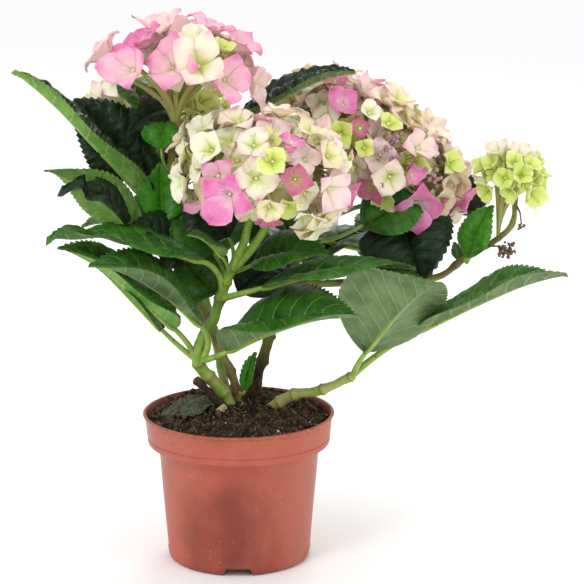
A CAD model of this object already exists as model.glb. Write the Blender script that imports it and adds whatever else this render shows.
# A potted hydrangea: plastic pot, peat, stems, leaves and five flower heads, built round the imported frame.
import math
import random

import bmesh
import bpy
import numpy as np
from mathutils import Matrix, Vector, noise


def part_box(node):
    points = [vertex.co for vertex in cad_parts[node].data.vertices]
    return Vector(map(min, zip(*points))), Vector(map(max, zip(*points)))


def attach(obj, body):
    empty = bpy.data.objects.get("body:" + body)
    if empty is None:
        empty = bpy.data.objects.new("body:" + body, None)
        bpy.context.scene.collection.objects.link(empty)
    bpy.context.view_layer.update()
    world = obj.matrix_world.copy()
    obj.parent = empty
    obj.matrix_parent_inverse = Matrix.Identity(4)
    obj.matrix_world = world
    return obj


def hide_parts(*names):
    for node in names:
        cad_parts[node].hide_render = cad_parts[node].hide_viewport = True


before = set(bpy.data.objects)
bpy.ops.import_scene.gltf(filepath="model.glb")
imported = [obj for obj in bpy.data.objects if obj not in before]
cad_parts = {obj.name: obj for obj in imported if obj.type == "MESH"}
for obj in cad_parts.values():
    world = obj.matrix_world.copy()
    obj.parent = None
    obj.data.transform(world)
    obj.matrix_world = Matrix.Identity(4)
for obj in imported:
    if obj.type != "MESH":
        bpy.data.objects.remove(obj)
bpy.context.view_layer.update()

mm = 0.001
dice = random.Random(7)


# Node helpers

def shade(red, green, blue):  # a screen colour from 0 to 255, as linear light
    values = [c / 255 for c in (red, green, blue)]
    return tuple(v / 12.92 if v < 0.0405 else ((v + 0.055) / 1.055) ** 2.4 for v in values) + (1.0,)


def feed(tree, node, inputs):  # a socket is linked, anything else is set
    for name, value in inputs.items():
        if isinstance(value, bpy.types.NodeSocket):
            tree.links.new(value, node.inputs[name])
        else:
            node.inputs[name].default_value = value
    return node


def put(tree, kind, inputs=None, **settings):
    node = tree.nodes.new("ShaderNode" + kind)
    for name, value in settings.items():
        setattr(node, name, value)
    return feed(tree, node, inputs or {})


def calc(tree, operation, first, second=0.0, third=0.0, clamp=False):
    node = put(tree, "Math", {0: first, 1: second, 2: third}, operation=operation, use_clamp=clamp)
    return node.outputs[0]


def remap(tree, value, low, high, newLow=0.0, newHigh=1.0):
    ends = {0: value, 1: low, 2: high, 3: newLow, 4: newHigh}
    return put(tree, "MapRange", ends, interpolation_type="SMOOTHSTEP").outputs[0]


def blendColours(tree, share, first, second, strength=None, mode="MIX"):  # fixed colours are 0 to 255
    if strength is not None:
        share = calc(tree, "MULTIPLY", share, strength)
    first, second = (c if isinstance(c, bpy.types.NodeSocket) else shade(*c) for c in (first, second))
    return put(tree, "Mix", {0: share, 6: first, 7: second}, data_type="RGBA", blend_type=mode).outputs[2]


def scaled(tree, vector, scale):
    return put(tree, "Mapping", {"Vector": vector, "Scale": scale}).outputs[0]


def cloud(tree, vector, scale, detail=3.0, roughness=0.5):
    node = put(tree, "TexNoise", {"Vector": vector, "Scale": scale, "Detail": detail, "Roughness": roughness})
    return node.outputs[0]


def newGroup(name, inputs):  # an input without a number is a place
    group = bpy.data.node_groups.new(name, "ShaderNodeTree")
    for socketName, value in inputs.items():
        kind = "Vector" if value is None else "Float"
        socket = group.interface.new_socket(name=socketName, in_out="INPUT", socket_type="NodeSocket" + kind)
        if value is not None:
            socket.default_value = value
    return group, group.nodes.new("NodeGroupInput").outputs


def finishGroup(group, results):
    for socketName in results:
        group.interface.new_socket(name=socketName, in_out="OUTPUT", socket_type="NodeSocketFloat")
    made = group.nodes.new("NodeGroupOutput")
    for socketName, value in results.items():
        group.links.new(value, made.inputs[socketName])
    return group


def place(tree, group, inputs):
    node = tree.nodes.new("ShaderNodeGroup")
    node.node_tree = group
    return feed(tree, node, inputs).outputs


def newMaterial(name, **fixed):
    material = bpy.data.materials.new(name)
    material.use_nodes = True
    tree = material.node_tree
    surface = tree.nodes["Principled BSDF"]
    for socketName, value in fixed.items():
        surface.inputs[socketName.replace("_", " ")].default_value = value
    return material, tree, surface


def newSkin(name, shine, patchSize, grainSize):  # a material with its own place, soft patches and fine grain
    material, tree, surface = newMaterial(name, Specular_IOR_Level=shine)
    spot = put(tree, "TexCoord").outputs["Object"]
    soft = place(tree, softPatches, {"Place": spot, "Patch Size": patchSize, "Grain Size": grainSize})
    return material, tree, surface, spot, soft


def finishMaterial(tree, surface, colour, roughness=None, height=None, strength=0.5, depth=0.4):
    tree.links.new(colour, surface.inputs["Base Color"])
    if roughness is not None:
        tree.links.new(roughness, surface.inputs["Roughness"])
    if height is not None:
        bump = put(tree, "Bump", {"Height": height, "Strength": strength, "Distance": depth * mm})
        tree.links.new(bump.outputs[0], surface.inputs["Normal"])


# Shared effects

def makeVeins():  # the veins of a leaf, from its own map: across 0 to 1, along 0 to 1
    group, given = newGroup("leafVeins", {"Place": None, "Pairs": 8.0, "Lean": 0.2})
    spot = given["Place"]
    split = put(group, "SeparateXYZ", {0: spot})
    across = calc(group, "ABSOLUTE", calc(group, "MULTIPLY_ADD", split.outputs[0], 2.0, -1.0))
    wander = calc(group, "MULTIPLY", cloud(group, scaled(group, spot, (9, 5, 1)), 1.0, 1.0), 0.03)
    lead = calc(group, "MULTIPLY", calc(group, "POWER", across, 1.25), given["Lean"])
    along = calc(group, "ADD", calc(group, "SUBTRACT", split.outputs[1], lead), wander)
    phase = calc(group, "FRACT", calc(group, "MULTIPLY", along, given["Pairs"]))
    off = calc(group, "SUBTRACT", 0.5, calc(group, "ABSOLUTE", calc(group, "SUBTRACT", phase, 0.5)))
    ribWidth = remap(group, split.outputs[1], 0.0, 1.0, 0.05, 0.012)
    midrib = calc(group, "SUBTRACT", 1.0, calc(group, "DIVIDE", across, ribWidth), clamp=True)
    fade = remap(group, across, 0.85, 1.0, 1.0, 0.35)
    sideVeins = calc(group, "MULTIPLY", remap(group, off, 0.0, 0.07, 1.0, 0.0), fade)
    net = put(group, "TexVoronoi", {"Vector": scaled(group, spot, (26, 46, 1)), "Scale": 1.0},
              feature="DISTANCE_TO_EDGE", voronoi_dimensions="2D")
    netting = remap(group, net.outputs["Distance"], 0.0, 0.09, 1.0, 0.0)
    cushions = calc(group, "POWER", calc(group, "MULTIPLY", off, 2.0), 0.6)
    return finishGroup(group, {"Midrib": midrib, "Side Veins": sideVeins, "Netting": netting,
                               "Cushions": cushions, "Across": across})


def makePetalShade():  # how far out, how near the edge, and the fine streaks and blotches of a petal
    group, given = newGroup("petalShade", {"Place": None})
    split = put(group, "SeparateXYZ", {0: given["Place"]})
    across = calc(group, "ABSOLUTE", calc(group, "MULTIPLY_ADD", split.outputs[0], 2.0, -1.0))
    fan = put(group, "CombineXYZ", {0: calc(group, "MULTIPLY", split.outputs[0], 22.0), 1: split.outputs[1]})
    streaks = remap(group, cloud(group, fan.outputs[0], 1.6, 2.0), 0.4, 0.66)
    blotches = cloud(group, scaled(group, given["Place"], (3, 3, 1)), 1.0, 3.0)
    reach = calc(group, "ADD", split.outputs[1], calc(group, "MULTIPLY_ADD", blotches, 0.5, -0.25), clamp=True)
    edge = remap(group, calc(group, "MAXIMUM", across, split.outputs[1]), 0.72, 1.0)
    return finishGroup(group, {"Reach": reach, "Edge": edge, "Streaks": streaks, "Blotches": blotches})


def makePatches():  # soft patches and fine grain on object coordinates
    group, given = newGroup("softPatches", {"Place": None, "Patch Size": 20.0, "Grain Size": 500.0})
    patches = remap(group, cloud(group, given["Place"], given["Patch Size"], 4.0, 0.6), 0.32, 0.68)
    grain = cloud(group, given["Place"], given["Grain Size"], 2.0)
    return finishGroup(group, {"Patches": patches, "Grain": grain})


def makeSpecks():  # scattered round specks, with how many of the cells hold one
    group, given = newGroup("scatteredSpecks", {"Place": None, "Count": 300.0, "Size": 0.25, "Share": 0.4})
    cells = put(group, "TexVoronoi", {"Vector": given["Place"], "Scale": given["Count"]})
    near = calc(group, "LESS_THAN", cells.outputs["Distance"], given["Size"])
    pick = put(group, "SeparateColor", {0: cells.outputs["Color"]})
    chosen = calc(group, "LESS_THAN", pick.outputs[0], given["Share"])
    return finishGroup(group, {"Specks": calc(group, "MULTIPLY", near, chosen)})


leafVeins = makeVeins()
petalShade = makePetalShade()
softPatches = makePatches()
scatteredSpecks = makeSpecks()
print("shared effects made")


# Mesh helpers: a template comes from bmesh operators, and its copies are bent and joined as arrays

def toArrays(bm):
    bm.verts.index_update()
    arrays = {
        "co": np.array([v.co[:] for v in bm.verts]),
        "corners": np.array([corner.vert.index for face in bm.faces for corner in face.loops]),
        "totals": np.array([len(face.verts) for face in bm.faces]),
    }
    bm.free()
    return arrays


slabs = {}


def slab(columns, rows):  # a flat closed slab: across -1 to 1, along 0 to 1, up 0 to 1
    if (columns, rows) not in slabs:
        bm = bmesh.new()
        bmesh.ops.create_grid(bm, x_segments=columns, y_segments=rows, size=1)
        fromZero = Matrix.Diagonal((1, 0.5, 1, 1)) @ Matrix.Translation((0, 1, 0))
        bmesh.ops.transform(bm, matrix=fromZero, verts=bm.verts)
        top = bmesh.ops.extrude_face_region(bm, geom=bm.faces[:])
        raised = [item for item in top["geom"] if isinstance(item, bmesh.types.BMVert)]
        bmesh.ops.translate(bm, verts=raised, vec=(0, 0, 1))
        bmesh.ops.recalc_face_normals(bm, faces=bm.faces[:])
        slabs[columns, rows] = toArrays(bm)
    return slabs[columns, rows]


tubes = {}


def tubeForm(sides, steps):  # a closed cylinder in rings, radius 1, its foot at 0 and its top at 1
    if (sides, steps) not in tubes:
        bm = bmesh.new()
        bmesh.ops.create_cone(bm, cap_ends=True, segments=sides, radius1=1, radius2=1, depth=1)
        upright = [edge for edge in bm.edges if abs(edge.verts[0].co.z - edge.verts[1].co.z) > 0.5]
        if steps > 1:
            bmesh.ops.subdivide_edges(bm, edges=upright, cuts=steps - 1, use_grid_fill=True)
        bmesh.ops.translate(bm, verts=bm.verts[:], vec=(0, 0, 0.5))
        bmesh.ops.recalc_face_normals(bm, faces=bm.faces[:])
        tubes[sides, steps] = toArrays(bm)
    return tubes[sides, steps]


def ballForm(segments, rings):
    bm = bmesh.new()
    bmesh.ops.create_uvsphere(bm, u_segments=segments, v_segments=rings, radius=1)
    return toArrays(bm)


def unit(rows):
    return rows / np.maximum(np.linalg.norm(rows, axis=-1, keepdims=True), 1e-12)


def tube(points, radii, sides=8):  # a tube through the points, turned as little as can be
    points = np.array(points, float)
    steps = len(points) - 1
    form = tubeForm(sides, steps)
    ahead = unit(np.gradient(points, axis=0))
    across = np.cross(ahead[0], (0.0, 0.0, 1.0) if abs(ahead[0][2]) < 0.9 else (1.0, 0.0, 0.0))
    acrosses = []
    for direction in ahead:
        across = across - direction * across.dot(direction)
        across = across / np.linalg.norm(across)
        acrosses.append(across)
    acrosses = np.array(acrosses)
    throughs = np.cross(ahead, acrosses)
    ring = np.rint(form["co"][:, 2] * steps).astype(int)
    radius = np.array(radii, float)[ring][:, None]
    co = points[ring] + radius * (acrosses[ring] * form["co"][:, :1] + throughs[ring] * form["co"][:, 1:2])
    return {**form, "co": co}


def buildPiece(name, parts, materials, sharp=55):
    offsets = np.cumsum([0] + [len(part["co"]) for part in parts])
    co = np.concatenate([part["co"] for part in parts]).astype(np.float32)
    corners = np.concatenate([part["corners"] + offset for part, offset in zip(parts, offsets)])
    totals = np.concatenate([part["totals"] for part in parts])
    mesh = bpy.data.meshes.new(name)
    mesh.vertices.add(len(co))
    mesh.vertices.foreach_set("co", co.ravel())
    mesh.loops.add(len(corners))
    mesh.polygons.add(len(totals))
    mesh.polygons.foreach_set("loop_start", (np.cumsum(totals) - totals).astype(np.int32))
    mesh.polygons.foreach_set("vertices", corners.astype(np.int32))
    if "slots" in parts[0]:
        slots = np.concatenate([part["slots"] for part in parts]).astype(np.int32)
        mesh.polygons.foreach_set("material_index", slots)
    for markName in parts[0].get("marks", {}):
        marks = mesh.attributes.new(markName, "FLOAT", "POINT")
        marks.data.foreach_set("value", np.concatenate([part["marks"][markName] for part in parts]))
    for mapName in parts[0].get("maps", {}):
        layer = mesh.uv_layers.new(name=mapName)
        layer.uv.foreach_set("vector", np.concatenate([part["maps"][mapName] for part in parts]).ravel())
    mesh.update(calc_edges=True)
    mesh.validate()
    mesh.shade_smooth()
    mesh.set_sharp_from_angle(angle=math.radians(sharp))
    return addPiece(name, mesh, materials)


def addPiece(name, mesh, materials):
    for material in materials:
        mesh.materials.append(material)
    piece = bpy.data.objects.new(name, mesh)
    bpy.context.scene.collection.objects.link(piece)
    return piece


def fromBmesh(name, bm, materials, sharp=40):
    mesh = bpy.data.meshes.new(name)
    bm.to_mesh(mesh)
    bm.free()
    mesh.shade_smooth()
    mesh.set_sharp_from_angle(angle=math.radians(sharp))
    return addPiece(name, mesh, materials)


def settle(piece, slotName, *nodes):  # rides on the one body and stands for its nodes
    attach(piece, "root")
    if nodes:
        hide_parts(*nodes)
    print(piece.name, len(piece.data.polygons), "faces")


# Pot: a spun wall with a band, a groove, a drain channel, and four notches and two nicks in its foot ring

potForm = {  # millimetres, and degrees for the turns
    "segments": 120, "height": 102, "rim": 65, "band": 62, "bandFoot": 81, "neck": 54.5, "foot": 48.2,
    "wall": 1.8, "floor": 8, "ring": 6, "channel": 5.5, "pad": 20, "footRound": 4.2,
    "notches": 4, "notchWidth": 19.5, "notchTurn": -90,
    "nickTurns": (-131, -47), "nickWidth": 3.2, "nickHeight": 1.6,
    "panelWidth": 38, "panelHeight": 6.5, "panelStep": 0.45, "sway": 0.35, "swayScale": 22, "swayRise": 40,
}
potLook = {  # colours, then the damp patch in front and the crumbs at the rim in metres
    "plastic": (182, 86, 62), "deeper": (128, 52, 36), "faded": (180, 96, 76), "damp": (118, 42, 28),
    "streak": (204, 132, 112), "scuff": (112, 44, 32), "speck": (238, 214, 202), "crumb": (88, 58, 42),
    "dampMiddle": -0.004, "dampReach": 0.046, "dampCore": 0.002, "dampTop": 0.09, "dampFull": 0.05,
    "crumbFoot": 0.093, "crumbTop": 0.102,
}


def arc(centreRadius, centreHeight, radius, start, end, steps):
    turns = [math.radians(start + (end - start) * i / steps) for i in range(steps + 1)]
    return [(centreRadius + radius * math.cos(t), centreHeight + radius * math.sin(t)) for t in turns]


def potProfile():  # from the middle of the underside out, up over the rim and down to the middle of the floor
    p = potForm
    wallRise = (p["neck"] - p["foot"]) / (p["bandFoot"] - 2 - 2.5)
    wallHeights = [p["panelHeight"], p["panelHeight"] + 0.7] + [12 + 11 * i for i in range(6)]
    wall = [(p["foot"] + (height - 2.5) * wallRise, height) for height in wallHeights]
    corner = p["footRound"]
    ring = p["foot"] - p["ring"]
    outside = [(0, 0), (p["pad"], 0), (p["pad"] + 1, p["channel"]), (ring, p["channel"]), (ring, 0.5),
               (ring + 0.5, 0)]
    outside += arc(p["foot"] - corner, corner, corner, -90, 0, 6) + wall
    outside += [(p["neck"], p["bandFoot"] - 2), (p["neck"] + 0.5, p["bandFoot"] - 0.9)]
    outside += arc(p["band"] - 1.6, p["bandFoot"] + 1.6, 1.6, -90, 0, 4)
    grooveFoot = p["bandFoot"] + 4.6
    outside += [(p["band"] + 0.1, grooveFoot - 0.5), (p["band"] - 0.3, grooveFoot),
                (p["band"] - 0.25, grooveFoot + 0.5), (p["band"] + 0.3, grooveFoot + 1)]
    outside += [(p["rim"] - 1.4, p["height"] - 2.6), (p["rim"] - 0.9, p["height"] - 2.1)]
    outside += arc(p["rim"] - 0.8, p["height"] - 0.8, 0.8, -60, 90, 6)
    inside = [(p["rim"] - 1.8, p["height"]), (p["rim"] - 2.3, p["height"] - 0.6),
              (p["band"] - p["wall"], p["bandFoot"] + 4), (p["neck"] + 2 - p["wall"], p["bandFoot"] + 1.5),
              (p["neck"] - p["wall"], p["bandFoot"] - 2), (p["foot"] - p["wall"], p["floor"] + 1),
              (p["foot"] - p["wall"] - 1, p["floor"]), (0, p["floor"])]
    return outside + inside


def potPlastic():
    look = potLook
    material, tree, surface, spot, soft = newSkin("potPlastic", 0.45, 16.0, 900.0)
    tall = scaled(tree, spot, (1, 1, 0.35))
    wide = place(tree, softPatches, {"Place": tall, "Patch Size": 34.0, "Grain Size": 2500.0})
    colour = blendColours(tree, soft["Patches"], look["plastic"], look["deeper"], 0.6)
    colour = blendColours(tree, wide["Patches"], colour, look["faded"], 0.5)
    x, _, z = put(tree, "SeparateXYZ", {0: spot}).outputs
    ragged = cloud(tree, scaled(tree, spot, (1, 1, 0.8)), 20.0, 3.0, 0.6)
    ragged = calc(tree, "ADD", x, calc(tree, "MULTIPLY_ADD", ragged, 0.09, -0.045))
    across = calc(tree, "ABSOLUTE", calc(tree, "SUBTRACT", ragged, look["dampMiddle"]))
    damp = calc(tree, "MULTIPLY", remap(tree, across, look["dampReach"], look["dampCore"]),
                remap(tree, z, look["dampTop"], look["dampFull"]))
    colour = blendColours(tree, damp, colour, look["damp"], 0.85)
    streaks = remap(tree, cloud(tree, scaled(tree, spot, (1, 1, 0.3)), 110.0, 5.0, 0.7), 0.58, 0.74)
    colour = blendColours(tree, streaks, colour, look["streak"], 0.18)
    scuffs = remap(tree, cloud(tree, scaled(tree, spot, (14, 14, 70)), 9.0, 4.0, 0.65), 0.63, 0.7)
    colour = blendColours(tree, scuffs, colour, look["scuff"], 0.3)
    pale = place(tree, scatteredSpecks, {"Place": spot, "Count": 320.0, "Size": 0.11, "Share": 0.07})
    colour = blendColours(tree, pale["Specks"], colour, look["speck"], 0.45)
    crumbs = calc(tree, "MULTIPLY", remap(tree, z, look["crumbFoot"], look["crumbTop"]),
                  remap(tree, cloud(tree, spot, 420.0, 3.0, 0.6), 0.5, 0.62))
    colour = blendColours(tree, crumbs, colour, look["crumb"], 0.5)
    roughness = calc(tree, "MULTIPLY_ADD", soft["Patches"], -0.14, 0.5)
    grain = calc(tree, "MULTIPLY_ADD", scuffs, 0.6, calc(tree, "ADD", wide["Grain"], streaks))
    finishMaterial(tree, surface, colour, roughness, grain, 0.18, 0.12)
    return material


def spun(outline, steps):  # a closed form turned about the upright axis from (radius, height) in millimetres
    bm = bmesh.new()
    spots = [bm.verts.new((radius * mm, 0, height * mm)) for radius, height in outline]
    edges = [bm.edges.new(pair) for pair in zip(spots, spots[1:])]
    bmesh.ops.spin(bm, geom=spots + edges, cent=(0, 0, 0), axis=(0, 0, 1), angle=2 * math.pi,
                   steps=steps, use_merge=True)
    bmesh.ops.remove_doubles(bm, verts=bm.verts[:], dist=0.02 * mm)
    return bm


def makePot():
    p = potForm
    bm = spun(potProfile(), p["segments"])
    notchHalf = p["notchWidth"] / 2 / p["foot"]
    panelHalf = p["panelWidth"] / 2 / p["foot"]
    nickHalf = math.degrees(p["nickWidth"] / 2 / p["foot"])
    between = 2 * math.pi / p["notches"]
    for vert in bm.verts:
        radius = math.hypot(vert.co.x, vert.co.y)
        onRing = radius > (p["foot"] - p["ring"] - 0.5) * mm
        onWall = radius > (p["foot"] - 5) * mm
        turn = math.atan2(vert.co.y, vert.co.x)
        away = abs((turn - math.radians(p["notchTurn"]) + between / 2) % between - between / 2)
        nickAway = min(abs(math.degrees(turn) - nick) for nick in p["nickTurns"])
        if onRing and away < notchHalf:
            vert.co.z = max(vert.co.z, (p["channel"] - 0.01) * mm)
        if onRing and nickAway < nickHalf:
            vert.co.z = max(vert.co.z, p["nickHeight"] * mm)
        if onWall and away < panelHalf and vert.co.z < (p["panelHeight"] + 0.1) * mm:
            vert.co.xy *= 1 + p["panelStep"] * mm / radius
        risen = min(1, vert.co.z / (p["swayRise"] * mm))
        sway = noise.noise(vert.co * p["swayScale"]) * p["sway"] * mm * risen
        if radius > p["foot"] * 0.9 * mm:
            vert.co.xy *= 1 + sway / radius
    bmesh.ops.remove_doubles(bm, verts=bm.verts[:], dist=0.02 * mm)
    bmesh.ops.recalc_face_normals(bm, faces=bm.faces[:])
    settle(fromBmesh("potShell", bm, [potPlastic()], 35), "pot", "pot")


makePot()


# Soil: a mounded bed with crumbs, white grains, fibres and one dried leaf

soilForm = {  # millimetres, with the crumbs' sizes, and the dark middle's reach in metres
    "edge": 96, "heap": 11, "heapX": -2, "heapY": 12, "heapReach": 66, "steps": 150, "rings": 34,
    "clods": 2.6, "crumbs": 1700, "grains": 30, "fibres": 700,
    "crumbSizes": (0.5, 0.6, 0.7, 0.7, 0.8, 0.9, 1.2, 1.7, 2.6),
    "fibreEdge": 59, "darkReach": 0.036, "darkCore": 0.014, "darkShare": 0.7,
}


def soilTop(x, y):
    s = soilForm
    away = math.hypot(x - s["heapX"], y - s["heapY"]) / s["heapReach"]
    heap = s["heap"] * max(0, 1 - away * away)
    swell = math.sin(x * 0.21 + 1) * math.cos(y * 0.17) + 0.6 * math.sin(x * 0.4 - y * 0.33)
    clods = noise.fractal(Vector((x, y, 3)) * 0.16, 0.9, 2.1, 4)
    return s["edge"] - 0.6 + heap + swell + s["clods"] * clods


def peat(name, dark, light, patchSize=180.0):  # darker in its hollows and towards the middle of the pot
    material, tree, surface, spot, soft = newSkin(name, 0.25, patchSize, 1600.0)
    colour = blendColours(tree, soft["Patches"], dark, light)
    fine = remap(tree, soft["Grain"], 0.42, 0.62)
    colour = blendColours(tree, fine, colour, (24, 16, 12), 0.55)
    level = put(tree, "VectorMath", {0: scaled(tree, spot, (1, 1, 0))}, operation="LENGTH").outputs["Value"]
    away = calc(tree, "ADD", level, calc(tree, "MULTIPLY", soft["Patches"], 0.012))
    middle = remap(tree, away, soilForm["darkReach"], soilForm["darkCore"], 0, soilForm["darkShare"])
    colour = blendColours(tree, middle, colour, (16, 11, 9))
    roughness = calc(tree, "MULTIPLY_ADD", fine, 0.1, 0.86)
    height = calc(tree, "ADD", soft["Grain"], soft["Patches"])
    finishMaterial(tree, surface, colour, roughness, height, 0.7, 0.6)
    return material


def mottledSkin(name, dark, light, rough, form):  # two colours in soft patches over fine grain
    material, tree, surface, _, soft = newSkin(name, form["shine"], form["patch"], form["grain"])
    colour = blendColours(tree, soft["Patches"], dark, light)
    roughness = calc(tree, "MULTIPLY_ADD", soft["Grain"], 0.2, rough)
    finishMaterial(tree, surface, colour, roughness, soft["Grain"], form["relief"], form["depth"])
    return material


def paleGrain(name, dark, light):
    return mottledSkin(name, dark, light, 0.7,
                       {"shine": 0.3, "patch": 260.0, "grain": 1800.0, "relief": 0.5, "depth": 0.2})


def soilSpot(reach=59.0):
    turn = dice.uniform(0, 2 * math.pi)
    away = reach * math.sqrt(dice.random())
    return away * math.cos(turn), away * math.sin(turn)


def lumps(count, reach, pickSize, lift):  # scattered lumps on the soil, lifted by a share of their size
    bm = bmesh.new()
    bmesh.ops.create_icosphere(bm, subdivisions=1, radius=1)
    lump = toArrays(bm)
    made = []
    for _ in range(count):
        x, y = soilSpot(reach)
        size = pickSize()
        made.append(scatter(lump, (x, y, soilTop(x, y) + lift * size), size))
    return made


def fibre():  # one straw that bends as it runs over the soil, kept inside the rim
    x, y = soilSpot(56)
    turn = dice.uniform(0, 2 * math.pi)
    length = dice.uniform(1.5, 7)
    bend = dice.uniform(-0.8, 0.8)
    points = []
    for i in range(5):
        x += length / 5 * math.cos(turn)
        y += length / 5 * math.sin(turn)
        turn += bend / 4
        inside = min(1, soilForm["fibreEdge"] / math.hypot(x, y))
        lift = 0.7 + 1.2 * math.sin(i * 0.9) * dice.random()
        points.append((x * inside * mm, y * inside * mm, (soilTop(x * inside, y * inside) + lift) * mm))
    return tube(points, [dice.uniform(0.09, 0.24) * mm] * 5, 5)


def makeSoil():
    p = potForm
    form = soilForm
    under = [(0, p["floor"] + 0.3), (p["foot"] - p["wall"] - 0.4, p["floor"] + 0.3),
             (p["neck"] - p["wall"] - 0.3, p["bandFoot"] - 1.7),
             (p["neck"] + 1.7 - p["wall"], p["bandFoot"] + 1.8),
             (p["band"] - p["wall"] - 0.3, p["bandFoot"] + 4.3)]
    edgeRadius = p["band"] - p["wall"] + 1.1
    top = [(edgeRadius * (1 - i / form["rings"]), 200) for i in range(form["rings"] + 1)]
    bm = spun(under + top, form["steps"])
    for vert in bm.verts:
        if vert.co.z > 0.15:
            vert.co.z = soilTop(vert.co.x / mm, vert.co.y / mm) * mm
    bmesh.ops.recalc_face_normals(bm, faces=bm.faces[:])
    darkPeat = peat("darkPeat", (26, 18, 13), (82, 60, 42))
    settle(fromBmesh("soilBed", bm, [darkPeat], 80), "soil", "soil")

    crumbs = lumps(form["crumbs"], 59.0, lambda: dice.choice(form["crumbSizes"]), 0.3)
    crumbPeat = peat("peatCrumb", (24, 17, 12), (108, 82, 58), 260.0)
    settle(buildPiece("peatCrumbs", crumbs, [crumbPeat], 180), "soil")
    grains = lumps(form["grains"], 61, lambda: dice.uniform(0.3, 1.1), 0.5)
    grainSkin = paleGrain("whiteGrain", (196, 190, 176), (238, 236, 226))
    settle(buildPiece("whiteGrains", grains, [grainSkin], 180), "soil")
    fibres = [fibre() for _ in range(form["fibres"])]
    straw = paleGrain("strawFibre", (54, 40, 28), (176, 152, 108))
    settle(buildPiece("strawFibres", fibres, [straw], 180), "soil")


def scatter(form, at, size):  # a lump of uneven sides at a place in millimetres
    stretch = np.array([dice.uniform(0.6, 1.3) for _ in range(3)])
    turn = dice.uniform(0, 6.28)
    axis = Vector((dice.random(), dice.random(), dice.random() + 0.1))
    turned = np.array(Matrix.Rotation(turn, 3, axis)).T
    bulges = 1 + 0.25 * np.sin(form["co"] @ np.array((3.1, 4.7, 2.3)) + dice.uniform(0, 6.28))
    co = (form["co"] * bulges[:, None] * stretch * size) @ turned + np.array(at)
    return {**form, "co": co * mm}


makeSoil()


# Stems and boughs: bark relief, node swellings and a sunken leaf scar at each pair of leaves

limbs = {  # piece, node, skin, radius at foot and tip, course in millimetres from the soil or from its bearer
    "front": ("frontStem", "stem_front", "leafGreen", 4.7, 2.8, [(-7, 4, 99), (-9, 2, 112), (-27, -6, 138),
              (-24, -10, 156), (-17, -14, 168), (-11, -20, 187), (-4, -26, 206), (5, -30, 228),
              (11, -34, 262)]),
    "left": ("leftStem", "stem_left", "purpleGreen", 3.3, 2.6, [(1, 10, 100), (-5, 7, 127), (-12, 5, 142),
             (-19, 5, 160), (-29, 6, 182), (-41, 6, 202), (-47, 4, 239), (-43, 0, 282), (-40, -4, 330)]),
    "woody": ("woodyStem", "stem_woody", "woody", 4.2, 2.8, [(6, 16, 99), (14, 15, 127), (20, 16, 148),
              (26, 20, 178), (42, 28, 204), (72, 38, 240)]),
    "low": ("lowRightStem", "stem_low_right", "paleGreen", 4.2, 3, [(20, 6, 101), (36, -4, 114),
            (55, -16, 121), (77, -26, 134)]),
    "back": ("backStem", "stem_back", "leafGreen", 3.6, 2.6, [(-8, 30, 98), (-18, 38, 150), (-35, 52, 205),
             (-52, 62, 255), (-56, 64, 285)]),
    "fork": ("frontFork", "bough_front_fork", "leafGreen", 3.2, 2.8, [(-4, -26, 206), (4, -27, 214),
             (20, -32, 239), (23, -36, 262)]),
    "far": ("farRightBough", "bough_far_right", "purpleGreen", 3, 2.2, [(25, 20, 175), (35, 24, 183),
            (62, 30, 184), (103, 32, 186), (137, 30, 189), (152, 27, 201), (175, 24, 216), (185, 22, 227),
            (187, 21, 246)]),
    "stub": ("deadStub", "stub_dead", "woody", 3.4, 2.8, [(-3, 0, 96), (-28, -14, 128)]),
}
limbForm = {
    "sides": 20, "ring": 1.1, "nodeSwell": 0.2, "nodeReach": 3.4, "scarSwell": 0.14, "scarReach": 0.9,
    "slim": 0.92, "woodyRelief": (0.9, 0.7), "greenRelief": (0.2, 0.4),
    "extraNodes": {"low": (0.16, 0.34, 0.66), "woody": (0.12, 0.22, 0.33, 0.45, 0.6),
                   "front": (0.04, 0.09, 0.13, 0.18), "back": (0.25,), "fork": (), "left": (0.12, 0.18, 0.3),
                   "far": (0.12,), "stub": (0.97,)},
}


def smoothCourse(spots, steps=24):  # a centripetal curve through the spots, with the length run so far
    points = [Vector(spot) * mm for spot in spots]
    line = [points[0] * 2 - points[1]] + points + [points[-1] * 2 - points[-2]]
    fine = [points[0]]
    for before, start, end, after in zip(line, line[1:], line[2:], line[3:]):
        gaps = [math.sqrt((b - a).length) for a, b in ((before, start), (start, end), (end, after))]
        leave = (start - before) / gaps[0] - (end - before) / (gaps[0] + gaps[1]) + (end - start) / gaps[1]
        arrive = (end - start) / gaps[1] - (after - start) / (gaps[1] + gaps[2]) + (after - end) / gaps[2]
        for i in range(1, steps + 1):
            t = i / steps
            fine.append(
                start * (2 * t**3 - 3 * t**2 + 1) + end * (3 * t**2 - 2 * t**3)
                + leave * gaps[1] * (t**3 - 2 * t**2 + t) + arrive * gaps[1] * (t**3 - t**2)
            )
    lengths = [0.0]
    for a, b in zip(fine, fine[1:]):
        lengths.append(lengths[-1] + (b - a).length)
    return np.array([p[:] for p in fine]), np.array(lengths)


def along(course, shares):  # points at these shares of the course's length
    points, lengths = course
    return np.stack([np.interp(np.array(shares) * lengths[-1], lengths, points[:, k]) for k in range(3)], -1)


courses = {key: smoothCourse(limb[5]) for key, limb in limbs.items()}


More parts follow.
